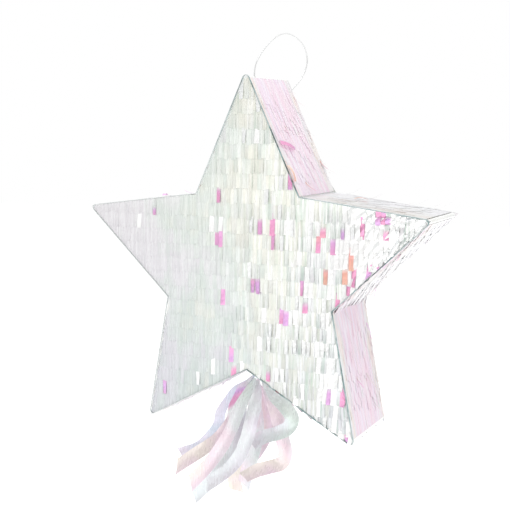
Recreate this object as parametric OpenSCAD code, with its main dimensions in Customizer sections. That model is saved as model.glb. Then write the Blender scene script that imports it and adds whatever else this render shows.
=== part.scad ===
// Star pinata: a card box in the shape of a five-pointed star, covered in cut film fringe. It hangs from a
// nylon loop, is filled through a flap in its back and opens through a trap door that ribbons pull.
// Millimetres. +Z is up, the front looks along -Y, and the origin is under the top of the loop, on a hook.

/* [Star] */
// Distance from the middle to a tip, before the tip is rounded
tip_r = 178; // [150:1:220]
// Distance from the middle to a notch between two points
notch_r = 86.5; // [75:0.5:100]
// Radius of each tip
tip_round = 3.5; // [2.5:0.1:5]
// Depth over the fringe, front to back
depth = 80; // [70:1:110]

/* [Card and film] */
// Thickness of the card
card_t = 2; // [1:0.1:3]
// Thickness of the base film that wraps the card
liner_t = 0.4; // [0.2:0.1:0.6]
// Thickness of one layer of fringe
fringe_t = 1.2; // [0.8:0.1:2]
// Width of the liner's fold round each front and back edge
liner_fold = 10; // [6:1:16]
// Rows of fringe on the front, and as many on the back
rows = 24; // [24:1:24]
// Width of the paper tape on each side of an inside seam
seam_w = 5; // [3:0.5:5.5]

/* [Trap door] */
// Distance from the notch to the door's free edge, along the wall
door_start = 6; // [6:0.5:10]
// Length of the door along the wall
door_l = 60; // [40:1:70]
// Width of the door across the wall
door_w = 54; // [40:1:54]
// Distance from the door's free edge to the hole for the ribbons
ribbon_hole_at = 8; // [7:0.5:12]

/* [Fill flap] */
// Width of the flap in the back
flap_w = 70; // [50:1:80]
// Height of the flap
flap_h = 60; // [40:1:66]
// Height of the flap's hinge above the middle of the star
flap_z = -36; // [-40:1:-30]

/* [Ribbons and loop] */
// Width of a pull ribbon
ribbon_w = 13; // [8:0.5:13]
// Thickness of a pull ribbon
ribbon_t = 0.5; // [0.3:0.1:0.8]
// Diameter of the nylon loop
loop_d = 1.2; // [0.8:0.1:1.6]

/* [Hidden] */
gap = 0.6;          // clearance round the door and the flap
bead_r = 0.4;       // radius of a hinge tape's crease
hinge_lap = 10;     // how far a hinge tape reaches past its crease
bare = 3.5;         // width without fringe past a crease
skin = liner_t + fringe_t;
face_y = depth / 2 - skin;                     // outer face of the front and back panels
inner_y = face_y - card_t;                     // inner face of the panels
half_tip = atan(notch_r * sin(36) / (tip_r - notch_r * cos(36)));
edge_l = sqrt(pow(tip_r, 2) + pow(notch_r, 2) - 2 * tip_r * notch_r * cos(36));
edge_h = tip_r * notch_r * sin(36) / edge_l;   // distance from the middle to every wall
wall_angle = 54 - half_tip;                    // slope of the walls that meet in the bottom notch
arc_n = 6;                                     // facets round each tip

// The star's middle in this frame. The loop's own line peaks just above the origin.
star_y = -42;
star_z = -213.4;

// The nylon loop, as [y, z] from the star's middle: up from the ridge, over, and in through the back.
loop_route = [[-24, 172.2], [-23.8, 176.5], [-21.8, 182], [-17.5, 187.5], [-11, 193], [-3, 198.6], [6, 203.8],
    [16, 208.4], [27, 212], [36, 213.6], [42, 214], [49, 213.7], [58, 212.4], [67, 210.2], [75.5, 207],
    [82, 202.6], [86, 197], [87, 191], [84.5, 185], [79.5, 179.2], [72.5, 173.8], [64, 168.8], [55, 164.2],
    [46.5, 160.3], [40.5, 158.4], [38.8, 158]];
loop_front = loop_route[0];
loop_back = loop_route[len(loop_route) - 1];
knot_r = 2.4;
bore_r = 1.5;       // holes in the card for the nylon
slack_r = 3;        // clearance round the nylon in the fringe

// Each ribbon's route from the middle of the gathered knot, with the way it faces at its start and its end.
ribbon_routes = [
    [[[-5, -3, -3], [-10, -5, -10], [-14, -7, -15], [-18, -10, -24], [-20, -13, -34], [-23, -15, -47],
      [-31, -17, -60], [-44, -19, -72], [-60, -20, -84], [-79, -20, -98]], [-1, -1, 0.4], [0.2, -1, 0.5]],
    [[[-6, 3, -4], [-14, 6, -12], [-28, 11, -23], [-40, 14, -35], [-49, 16, -49], [-54, 17, -63],
      [-64, 18, -78], [-79, 18, -91], [-98, 18, -100]], [-0.3, -1, 0.8], [0.1, -1, 0.6]],
    [[[-1, -5, -4], [-2, -10, -10], [-5, -17, -20], [-10, -22, -33], [-15, -27, -50], [-24, -31, -68],
      [-37, -33, -86], [-55, -34, -106]], [-0.3, -1, 0.5], [0.3, -1, 0.3]],
    [[[-4, -1, -6], [-10, -2, -14], [-14, -4, -27], [-15, -6, -42], [-20, -8, -59], [-28, -9, -78],
      [-39, -10, -98], [-52, -10, -115], [-66, -10, -129]], [-0.6, -1, 0], [0.3, -1, 0.2]],
    [[[-2, 5, -5], [-5, 11, -14], [-2, 16, -32], [0, 20, -50], [-4, 22, -69], [-15, 22, -87],
      [-28, 22, -102], [-38, 22, -115], [-36, 22, -129]], [-0.5, -1, 0.3], [0.5, -1, 0]],
    [[[-1, 1, -7], [-5, 5, -17], [-9, 9, -31], [-8, 12, -49], [-9, 13, -68], [-13, 13, -85],
      [-19, 13, -102], [-23, 13, -118]], [0.4, -1, 0.2], [0.2, -1, 0]],
    [[[5, -1, -4], [11, -3, -11], [21, -8, -18], [33, -12, -25], [40, -12, -35], [36, -12, -45],
      [24, -11, -52], [10, -9, -58], [-4, -8, -67]], [0.6, -1, 0.6], [0.4, -1, 0.6]],
    [[[3, 2, -6], [7, 3, -15], [14, 2, -27], [20, 0, -42], [25, -2, -57], [29, -3, -71], [26, -4, -82],
      [14, -4, -88], [0, -4, -94], [-14, -4, -103]], [0.8, -1, 0], [0.2, -1, 0.8]],
    [[[1, -4, -6], [3, -8, -14], [3, -13, -27], [1, -17, -42], [-2, -19, -57], [-8, -20, -73],
      [-18, -20, -87], [-31, -20, -99], [-45, -20, -110]], [0.2, -1, 0.2], [0.1, -1, 0.4]]];
gather_r = 4.2;     // radius of the ball that the ribbons are gathered in
gather_out = 9;     // its distance from the wall's card
neck_r = 3.4;       // the ribbons where they pass through the door
smooth_n = 3;       // steps between two points of a ribbon's route
root_w = 2.4;       // width of a ribbon where it leaves the gather
opens_by = 1.3;     // how much wider it gets at each step

tip_names = ["top", "right", "lower_right", "lower_left", "left"];
door_tip = 3;       // the point whose wall has the trap door
row_names = ["01", "02", "03", "04", "05", "06", "07", "08", "09", "10", "11", "12",
    "13", "14", "15", "16", "17", "18", "19", "20", "21", "22", "23", "24"];

// ---- outlines of the star, drawn in x and z

function polar(r, a) = [r * cos(a), r * sin(a)];

// The star moved in from the outermost surface. Its walls are all as far from the middle, so it only scales.
function inset_scale(inset) = (edge_h - inset) / edge_h;
function tip_arc(inset, at) =
    let (k = inset_scale(inset), round = max(tip_round - inset, 0.5), turn = 90 - half_tip,
        middle = polar(k * tip_r - round / sin(half_tip), at))
    [for (i = [0:arc_n]) middle + polar(round, at + turn - 2 * turn * i / arc_n)];
function star(inset) =
    [for (i = [0:4]) each concat(tip_arc(inset, 90 - 72 * i), [polar(inset_scale(inset) * notch_r, 54 - 72 * i)])];

// One point of the star's skin, from notch to notch round a tip, between two insets.
function point_band(i, outer, inner) = let (at = 90 - 72 * i) concat(
    [polar(inset_scale(outer) * notch_r, at + 36)], tip_arc(outer, at), [polar(inset_scale(outer) * notch_r, at - 36)],
    [polar(inset_scale(inner) * notch_r, at - 36)],
    [for (p = [arc_n:-1:0]) tip_arc(inner, at)[p]], [polar(inset_scale(inner) * notch_r, at + 36)]);

// A flat shape in x and z made t thick, from y0 towards the back.
module plate(y0, t) {
    translate([0, y0 + t, 0]) rotate([90, 0, 0]) linear_extrude(t) children();
}

// Everything is drawn round the star's middle and then moved to the frame.
module in_frame() {
    translate([0, star_y, star_z]) children();
}

// The wall left of the bottom notch: x runs down it from the notch, z = 0 is the card's outer face and +z is inside.
module on_door_wall() {
    mirror([1, 0, 0]) translate([0, 0, -inset_scale(skin) * notch_r]) rotate([0, wall_angle, 0]) children();
}

module box(low, high) {
    translate(low) cube(high - low);
}

door_end = door_start + door_l;      // the door's hinge, on the same line
flap_top = flap_z + flap_h;

// ---- the card box

module front_panel() {
    color("linen") in_frame() plate(-face_y, card_t) polygon(star(skin));
}

module back_panel() {
    color("linen") in_frame() difference() {
        plate(inner_y, card_t) polygon(star(skin));
        box([-flap_w / 2, inner_y - 1, flap_z - gap], [flap_w / 2, face_y + 1, flap_top]);
        translate([0, inner_y - 1, loop_back[1]]) rotate([-90, 0, 0]) cylinder(r = bore_r, h = card_t + 2, $fn = 32);
    }
}

// Card folded round one tip, butted to its neighbours in the notches.
module side_strip(i) {
    color("linen") in_frame() difference() {
        plate(-inner_y, 2 * inner_y) polygon(point_band(i, skin, skin + card_t));
        if (i == 0) ridge_bore(bore_r);
        if (i == door_tip) on_door_wall()
            box([door_start, -door_w / 2, -1], [door_end + gap, door_w / 2, card_t + 1]);
    }
}

module ridge_bore(r) {
    translate([0, loop_front[0], tip_r - 30]) cylinder(r = r, h = 40, $fn = 32);
}

// Paper tape folded over each seam inside, where two strips butt together.
module inside_seam_tapes() {
    tape_t = 0.3;
    tape_y = inner_y - 1;
    middle = -inset_scale(skin + card_t) * notch_r;
    over = tape_t / cos(wall_angle);
    color("burlywood") in_frame() for (i = [0:4]) rotate([0, 72 * i, 0]) plate(-tape_y, 2 * tape_y)
        polygon([[0, middle], [seam_w * cos(wall_angle), middle - seam_w * sin(wall_angle)],
            [seam_w * cos(wall_angle) + tape_t * sin(wall_angle),
                middle - seam_w * sin(wall_angle) + tape_t * cos(wall_angle)],
            [0, middle + over],
            [-seam_w * cos(wall_angle) - tape_t * sin(wall_angle),
                middle - seam_w * sin(wall_angle) + tape_t * cos(wall_angle)],
            [-seam_w * cos(wall_angle), middle - seam_w * sin(wall_angle)]]);
}

// ---- the base film

// Film over a whole face, folded back round the edge onto the walls.
module face_liner() {
    difference() {
        plate(-face_y - liner_t, liner_fold) polygon(star(fringe_t));
        plate(-face_y, liner_fold) polygon(star(skin));
    }
}

module front_liner() {
    color("lightcyan") in_frame() face_liner();
}

module back_liner() {
    color("lightcyan") in_frame() difference() {
        mirror([0, 1, 0]) face_liner();
        box([-flap_w / 2 - gap, face_y - 1, flap_z - hinge_lap], [flap_w / 2 + gap, face_y + 1, flap_top + gap]);
        translate([0, face_y - 1, loop_back[1]]) rotate([-90, 0, 0]) cylinder(r = bore_r, h = 3, $fn = 32);
    }
}

module wall_liner() {
    reach = face_y + liner_t - liner_fold;
    color("lightcyan") in_frame() difference() {
        plate(-reach, 2 * reach) difference() {
            polygon(star(fringe_t));
            polygon(star(skin));
        }
        ridge_bore(bore_r);
        on_door_wall() box([door_start - gap, -door_w / 2 - gap, -1],
            [door_end + hinge_lap, door_w / 2 + gap, 0.1]);
    }
}

// Creased tape on the fixed side of the door's and the flap's fold. Each bead lies on the fold's axis.
module hinge_tapes() {
    color("gainsboro") in_frame() {
        on_door_wall() union() {
            box([door_end, -door_w / 2, -liner_t], [door_end + hinge_lap, door_w / 2, 0]);
            translate([door_end, -door_w / 2, 0]) rotate([-90, 0, 0]) cylinder(r = bead_r, h = door_w, $fn = 32);
        }
        union() {
            box([-flap_w / 2, face_y, flap_z - hinge_lap], [flap_w / 2, face_y + liner_t, flap_z]);
            translate([-flap_w / 2, face_y, flap_z]) rotate([0, 90, 0]) cylinder(r = bead_r, h = flap_w, $fn = 32);
        }
    }
}

// ---- fringe, as the space that each row fills

star_top = inset_scale(fringe_t) * tip_r - (tip_round - fringe_t) * (1 / sin(half_tip) - 1);
star_bottom = -(inset_scale(fringe_t) * tip_r - (tip_round - fringe_t) / sin(half_tip)) * sin(54)
    - (tip_round - fringe_t);
row_h = (star_top - star_bottom) / rows;

module row_shape(i) {
    intersection() {
        polygon(star(fringe_t));
        translate([-tip_r, star_top - (i + 1) * row_h]) square([2 * tip_r, row_h]);
    }
}

module front_fringe(i) {
    color("honeydew") in_frame() plate(-depth / 2, fringe_t) row_shape(i);
}

module back_fringe() {
    color("honeydew") in_frame() for (i = [0:rows - 1]) difference() {
        plate(depth / 2 - fringe_t, fringe_t) row_shape(i);
        box([-flap_w / 2 - gap, 0, flap_z - bare], [flap_w / 2 + gap, depth, flap_top + gap]);
        translate([0, face_y, loop_back[1]]) rotate([-90, 0, 0]) cylinder(r = slack_r, h = 4, $fn = 32);
    }
}

module wall_fringe(i) {
    color("lavenderblush") in_frame() difference() {
        plate(-face_y, 2 * face_y) polygon(point_band(i, 0, fringe_t));
        if (i == 0) ridge_bore(slack_r);
        if (i == door_tip) on_door_wall() box([door_start - gap, -door_w / 2 - gap, -skin - 1],
            [door_end + bare, door_w / 2 + gap, 0.1]);
    }
}

// ---- the trap door and its ribbons

module ribbon_hole(r) {
    translate([door_start + ribbon_hole_at, 0, -skin - 1]) cylinder(r = r, h = skin + card_t + 2, $fn = 32);
}

module trap_door() {
    color("linen") in_frame() on_door_wall() difference() {
        box([door_start + gap, -door_w / 2 + gap, 0], [door_end - gap, door_w / 2 - gap, card_t]);
        ribbon_hole(neck_r + 0.5);
    }
}

module trap_door_fringe() {
    color("lavenderblush") in_frame() on_door_wall() difference() {
        box([door_start + gap, -door_w / 2 + gap, -skin], [door_end - 2, door_w / 2 - gap, 0]);
        ribbon_hole(neck_r + 0.5);
    }
}

// The ribbons knotted inside the door, and the neck where they pass through it.
module ribbon_knot() {
    knot_at = card_t + 5;
    color("thistle") in_frame() on_door_wall() translate([door_start + ribbon_hole_at, 0, 0]) union() {
        translate([0, 0, knot_at]) sphere(r = 5, $fn = 32);
        translate([0, 0, gather_r + 0.4 - gather_out])
            cylinder(r = neck_r, h = knot_at + gather_out - gather_r - 0.4, $fn = 32);
    }
}

gather_at = [gather_out * sin(wall_angle) - (door_start + ribbon_hole_at) * cos(wall_angle), 0,
    -inset_scale(skin) * notch_r - (door_start + ribbon_hole_at) * sin(wall_angle) - gather_out * cos(wall_angle)];

module ribbon_gather() {
    color("thistle") in_frame() translate(gather_at) sphere(r = gather_r, $fn = 32);
}

// A curve through the points of a route: the middle of each stretch follows its two neighbours.
function knot_of(p, i) = i < 0 ? 2 * p[0] - p[1] : i >= len(p) ? 2 * p[len(p) - 1] - p[len(p) - 2] : p[i];
function between(p, i, t) = let (a = knot_of(p, i - 1), b = p[i], c = p[i + 1], d = knot_of(p, i + 2))
    0.5 * (2 * b + (c - a) * t + (2 * a - 5 * b + 4 * c - d) * t * t + (3 * b - a - 3 * c + d) * t * t * t);
function smooth(p, n) = concat([for (i = [0:len(p) - 2], j = [0:n - 1]) between(p, i, j / n)], [p[len(p) - 1]]);
function unit(v) = v / norm(v);
function along(p, i) = unit(p[min(i + 1, len(p) - 1)] - p[max(i - 1, 0)]);

// Rings of corners joined into one closed tube.
module swept(rings) {
    n = len(rings[0]);
    last = len(rings) - 1;
    polyhedron(points = [for (r = rings) each r], faces = concat(
        [[for (k = [n - 1:-1:0]) k]], [[for (k = [0:n - 1]) last * n + k]],
        [for (i = [0:last - 1], k = [0:n - 1]) let (m = (k + 1) % n)
            each [[i * n + k, i * n + m, (i + 1) * n + m], [i * n + k, (i + 1) * n + m, (i + 1) * n + k]]]));
}

// A ribbon is pinched in the gather and opens to its full width.
module pull_ribbon(route) {
    line = smooth(route[0], smooth_n);
    last = len(line) - 1;
    color("thistle") in_frame() translate(gather_at) swept([for (i = [0:last])
        let (t = along(line, i), facing = route[1] * (1 - i / last) + route[2] * (i / last),
            across = unit(cross(t, facing)), up = cross(across, t),
            w = min(ribbon_w, root_w + i * opens_by) / 2, h = ribbon_t / 2)
        [line[i] + across * w + up * h, line[i] - across * w + up * h,
            line[i] - across * w - up * h, line[i] + across * w - up * h]]);
}

// ---- the fill flap

module fill_flap() {
    color("linen") in_frame()
        box([-flap_w / 2 + gap, inner_y, flap_z + gap], [flap_w / 2 - gap, face_y, flap_top - gap]);
}

module fill_flap_fringe() {
    color("honeydew") in_frame()
        box([-flap_w / 2 + gap, face_y, flap_z + 2], [flap_w / 2 - gap, face_y + skin, flap_top - gap]);
}

// A round clear sticker that keeps the flap shut.
module fill_flap_seal() {
    seal_t = 0.2;
    seal_r = 12;
    color("white") in_frame() translate([0, depth / 2, flap_top])
        rotate([-90, 0, 0]) cylinder(r = seal_r, h = seal_t, $fn = 48);
}

// ---- the loop

module hanging_loop() {
    color("whitesmoke") in_frame() swept([for (i = [0:len(loop_route) - 1])
        let (p = [for (q = loop_route) [0, q[0], q[1]]], t = along(p, i), up = cross(t, [1, 0, 0]))
        [for (k = [0:7]) p[i] + loop_d / 2 * ([cos(45 * k), 0, 0] - up * sin(45 * k))]]);
}

// The nylon's knots inside, with its last stretch up to each hole.
module loop_knots() {
    front_knot = loop_front[1] - 9.2;
    back_knot = loop_back[0] - 6;
    stub_end = loop_d / 2 + 0.1;
    color("whitesmoke") in_frame() {
        union() {
            translate([0, loop_front[0], front_knot]) sphere(r = knot_r, $fn = 32);
            translate([0, loop_front[0], front_knot])
                cylinder(r = loop_d / 2, h = loop_front[1] - stub_end - front_knot, $fn = 24);
        }
        union() {
            translate([0, back_knot, loop_back[1]]) sphere(r = knot_r, $fn = 32);
            translate([0, back_knot, loop_back[1]]) rotate([-90, 0, 0])
                cylinder(r = loop_d / 2, h = loop_back[0] - stub_end - back_knot, $fn = 24);
        }
    }
}

front_panel();
back_panel();
for (i = [0:4]) side_strip(i);
inside_seam_tapes();
front_liner();
back_liner();
wall_liner();
hinge_tapes();
for (i = [0:rows - 1]) front_fringe(i);
back_fringe();
for (i = [0:4]) wall_fringe(i);
trap_door();
trap_door_fringe();
ribbon_knot();
ribbon_gather();
for (i = [0:len(ribbon_routes) - 1])
    pull_ribbon(ribbon_routes[i]);
fill_flap();
fill_flap_fringe();
fill_flap_seal();
hanging_loop();
loop_knots();
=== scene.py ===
"""A star pinata covered in cut iridescent film fringe, hung from a nylon loop, with pull ribbons below."""

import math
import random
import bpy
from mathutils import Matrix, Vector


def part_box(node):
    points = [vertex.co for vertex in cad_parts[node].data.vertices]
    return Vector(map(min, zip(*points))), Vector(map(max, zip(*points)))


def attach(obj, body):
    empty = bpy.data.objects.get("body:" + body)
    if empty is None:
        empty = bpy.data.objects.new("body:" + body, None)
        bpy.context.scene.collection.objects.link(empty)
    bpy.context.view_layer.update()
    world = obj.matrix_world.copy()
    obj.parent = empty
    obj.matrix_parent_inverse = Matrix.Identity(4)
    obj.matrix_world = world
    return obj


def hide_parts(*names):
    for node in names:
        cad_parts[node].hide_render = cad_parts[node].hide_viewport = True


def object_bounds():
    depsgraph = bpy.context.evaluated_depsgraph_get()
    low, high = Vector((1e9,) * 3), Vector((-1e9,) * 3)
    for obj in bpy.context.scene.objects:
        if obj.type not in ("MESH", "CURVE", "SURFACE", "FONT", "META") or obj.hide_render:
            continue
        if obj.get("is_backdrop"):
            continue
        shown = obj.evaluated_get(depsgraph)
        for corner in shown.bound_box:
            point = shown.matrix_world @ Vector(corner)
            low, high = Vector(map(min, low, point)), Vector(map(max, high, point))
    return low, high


bl_info = {
    "name": "Star Pinata",
    "version": (1, 0, 0),
    "blender": (4, 5, 0),
    "location": "3D View > Sidebar > Pinata",
    "description": "Dresses a card star in film fringe and adds its ribbons, its hanging loop and a plain studio",
    "category": "Object",
}

import bpy
from mathutils import Vector

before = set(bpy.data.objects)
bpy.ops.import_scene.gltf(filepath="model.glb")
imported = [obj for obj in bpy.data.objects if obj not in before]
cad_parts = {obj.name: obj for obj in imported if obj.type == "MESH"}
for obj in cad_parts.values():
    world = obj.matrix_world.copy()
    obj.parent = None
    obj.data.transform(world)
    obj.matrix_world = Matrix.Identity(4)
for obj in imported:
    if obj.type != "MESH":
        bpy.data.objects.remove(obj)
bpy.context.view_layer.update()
MM = 0.001


# ---------------------------------------------------------------- sizes and colours that a user would change

def number(name, description, value, low=0, **more):
    return bpy.props.FloatProperty(name=name, description=description, default=value, min=low, **more)


def length(name, description, value):
    return number(name, description, value, unit="LENGTH", precision=5)


def colour(name, description, value):
    return bpy.props.FloatVectorProperty(
        name=name, description=description, default=value, size=3, subtype="COLOR", min=0, max=1)


class PinataStar(bpy.types.PropertyGroup):
    tip_radius: length("Tip radius", "Distance from the middle to a tip, before the tip is rounded", 178 * MM)
    notch_radius: length("Notch radius", "Distance from the middle to a notch between two points", 86.5 * MM)
    tip_round: length("Tip rounding", "Radius of each tip", 3.5 * MM)
    edge_line: length("Edge line", "Width of the dark film edge that shows round the front", 0.75 * MM)


class PinataFringe(bpy.types.PropertyGroup):
    strip: length("Strip width", "Width of one cut strip of film", 4.3 * MM)
    wall_strip: length("Wall strip width", "Width of a strip on the walls", 3.4 * MM)
    gap: length("Cut", "Gap between two strips", 0.04 * MM)
    overhang: length("Overhang", "How far a row reaches over the next one", 6.5 * MM)
    film: length("Film thickness", "Thickness of the film", 0.06 * MM)
    wall_row: length("Wall row", "Distance between rows on the walls", 18 * MM)
    wall_reach: length("Wall strip length", "Length of a strip on the walls that don't face down", 44 * MM)
    whisker: length("Whisker", "How far the most unruly strips stand off the walls", 9 * MM)
    whiskers: bpy.props.IntProperty(
        name="Whiskers", description="Stray strips along the front and back edges of one wall", default=12, min=0)
    chip_share: number(
        "Coloured chips", "Share of the front strips that flash a strong colour, at its busiest", 0.09, max=1)
    # White chips are painted highlights: strips painted white where the front mirrors the lights.
    painted_highlight_share: number("White chips", "Share of the front strips that flash white, at its busiest", 0.68, max=1)


class PinataColours(bpy.types.PropertyGroup):
    lavender: colour("Lavender", "Palest shade, towards the left of the front", (0.84, 0.81, 0.84))
    mint: colour("Mint", "Green shade in the middle of the front", (0.75, 0.80, 0.76))
    cream: colour("Cream", "Yellow shade between the mint and the pink", (0.84, 0.83, 0.76))
    # Grey mint is the colour of the painted shade streaks on the front.
    shadow: colour("Grey mint", "Darkest streaks of the front", (0.70, 0.82, 0.76))
    pink: colour("Pink", "Shade of the walls", (0.95, 0.74, 0.82))
    rose: colour("Rose", "Strongest streaks of the walls", (0.91, 0.66, 0.79))
    lilac: colour("Lilac", "Cool shade of the walls", (0.91, 0.79, 0.90))
    peach: colour("Peach", "Warm shade of the walls near the front", (0.95, 0.83, 0.76))
    blue: colour("Blue", "Bluest shade of the ribbons", (0.76, 0.81, 0.92))
    grey: colour("Grey", "Greyest shade of the ribbons", (0.86, 0.87, 0.88))
    magenta: colour("Magenta flash", "Strongest colour that a turned strip flashes", (0.88, 0.38, 0.62))
    violet: colour("Violet flash", "Second colour that a turned strip flashes", (0.77, 0.46, 0.82))
    coral: colour("Coral flash", "Third colour that a turned strip flashes", (0.90, 0.46, 0.38))
    honey: colour("Honey flash", "Palest colour that a turned strip flashes", (0.97, 0.80, 0.64))
    # White is the painted highlight of strips and streaks that catch the light, and the palest shade of the films.
    white: colour("White", "Strips that catch the light", (0.97, 0.97, 0.97))
    edge: colour("Edge", "Cut edge of the dark film", (0.17, 0.29, 0.29))
    card: colour("Card", "Plain card of the box", (0.52, 0.38, 0.24))
    tape: colour("Paper tape", "Gummed paper tape inside", (0.42, 0.27, 0.14))


class PinataRibbons(bpy.types.PropertyGroup):
    width: length("Ribbon width", "Width of a pull ribbon", 13 * MM)
    film: length("Ribbon thickness", "Thickness of a pull ribbon's film", 0.2 * MM)
    cup: length("Cupping", "How far a ribbon's edges curl out of its plane", 1.2 * MM)
    nylon: length("Nylon", "Diameter of the hanging loop's line", 1.2 * MM)


class PinataStage(bpy.types.PropertyGroup):
    lens: number("Lens", "Focal length of the camera", 68.55, low=20, max=200, unit="CAMERA")
    sky: number("Sky", "Brightness of the white surroundings", 0.88, max=5)
    key: number("Key light", "Power of the light that the front mirrors", 1.6, unit="POWER")
    side: number("Side light", "Power of the light on the right", 7.0, unit="POWER")
    top: number("Top light", "Power of the light above and behind", 20, unit="POWER")


GROUPS = {"pinata_star": PinataStar, "pinata_fringe": PinataFringe, "pinata_colours": PinataColours,
          "pinata_ribbons": PinataRibbons, "pinata_stage": PinataStage}


def prop(group):
    return getattr(bpy.context.scene, "pinata_" + group)


# ---------------------------------------------------------------- the star's outline, in x and z from its middle

LEG_DROP = 12 * MM  # rows this far below the side notches belong to the legs
FACE_INSET = 0.9 * MM  # from the outermost surface to the fringe of the front and the back
WALL_INSET = 1.3 * MM  # and to the fringe of the walls


def polar(radius, degrees):
    return (radius * math.cos(math.radians(degrees)), radius * math.sin(math.radians(degrees)))


class Outline:
    """The star's outline, moved in from its outermost surface by `inset`."""

    def __init__(self, inset=0.0):
        star = prop("star")
        tip, notch = star.tip_radius, star.notch_radius
        sine, cosine = math.sin(math.radians(36)), math.cos(math.radians(36))
        self.half_tip = math.atan(notch * sine / (tip - notch * cosine))
        edge = math.hypot(tip - notch * cosine, notch * sine)
        height = tip * notch * sine / edge
        scale = (height - inset) / height
        self.tip, self.notch = tip * scale, notch * scale
        self.round = max(star.tip_round - inset, 0.5 * MM)
        self.peak = self.tip - self.round * (1 / math.sin(self.half_tip) - 1)

    def points(self, facets):
        """Corners clockwise from the top point: an arc round each tip, then the notch."""
        found = []
        turn = 90 - math.degrees(self.half_tip)
        for i in range(5):
            at = 90 - 72 * i
            mx, mz = polar(self.tip - self.round / math.sin(self.half_tip), at)
            for k in range(facets + 1):
                dx, dz = polar(self.round, at + turn - 2 * turn * k / facets)
                found.append((mx + dx, mz + dz))
            found.append(polar(self.notch, at - 36))
        return found

    def line(self, x, start, end):
        """Height at x of the straight line from start to end."""
        return start[1] + (x - start[0]) * (end[1] - start[1]) / (end[0] - start[0])

    def top(self, x, low):
        """Upper limit at x of the part of the star that a row down to `low` covers."""
        x = abs(x)
        shoulder, waist = polar(self.notch, 54), polar(self.notch, -18)
        if low < waist[1] - LEG_DROP and x > waist[0]:
            return self.line(x, waist, polar(self.tip, -54))
        if x < shoulder[0]:
            return self.line(x, (0, self.tip), shoulder)
        return self.line(x, shoulder, polar(self.tip, 18))

    def bottom(self, x, low):
        """Lower limit at x of the same part."""
        x = abs(x)
        waist = polar(self.notch, -18)
        if x > waist[0] and low >= waist[1] - LEG_DROP:
            return self.line(x, waist, polar(self.tip, 18))
        return self.line(x, (0, -self.notch), polar(self.tip, -54))


def middle():
    """The star's middle in the frame."""
    front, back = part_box("front_panel")[0].y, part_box("back_panel")[1].y
    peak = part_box("wall_fringe_top")[1].z
    return Vector((0, (front + back) / 2, peak - Outline().peak))


# ---------------------------------------------------------------- small helpers

def deselect():
    if bpy.context.object and bpy.context.object.mode != "OBJECT":
        bpy.ops.object.mode_set(mode="OBJECT")
    bpy.ops.object.select_all(action="DESELECT")


def choose(piece):
    deselect()
    piece.select_set(True)
    bpy.context.view_layer.objects.active = piece


def name_piece(name):
    piece = bpy.context.object
    piece.name = piece.data.name = name
    return piece


def join(pieces, name):
    choose(pieces[0])
    for piece in pieces:
        piece.select_set(True)
    bpy.ops.object.join()
    return name_piece(name)


def thicken(piece, thickness):
    choose(piece)
    solid = piece.modifiers.new("Film", "SOLIDIFY")
    solid.thickness, solid.offset = thickness, 0
    bpy.ops.object.modifier_apply(modifier=solid.name)


def edit(piece, action, everything=True, **settings):
    """Runs one mesh operator on all of the piece, or on what is selected in it."""
    choose(piece)
    bpy.ops.object.mode_set(mode="EDIT")
    if everything:
        bpy.ops.mesh.select_all(action="SELECT")
    action(**settings)
    bpy.ops.object.mode_set(mode="OBJECT")


def split_edges(piece, wanted):
    """Cuts the mesh apart along every edge whose two ends `wanted` accepts."""
    bpy.context.tool_settings.mesh_select_mode = (False, True, False)
    mesh = piece.data
    for part in (mesh.vertices, mesh.polygons):
        part.foreach_set("select", [False] * len(part))
    for edge in mesh.edges:
        edge.select = wanted(*(mesh.vertices[i].co for i in edge.vertices))
    edit(piece, bpy.ops.mesh.edge_split, everything=False, type="EDGE")


def set_attributes(mesh, **layers):
    for name, values in layers.items():
        mesh.attributes.new(name, "FLOAT", "POINT").data.foreach_set("value", values)


def finish(piece, body, material, *nodes, slot=None):
    piece.data.materials.clear()
    piece.data.materials.append(material)
    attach(piece, body)
    if nodes:
        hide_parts(*nodes)


def finish_fringe(piece, body, film, node, slot):
    thicken(piece, prop("fringe").film)
    finish(piece, body, film, node, slot=slot)


# ---------------------------------------------------------------- materials

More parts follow.
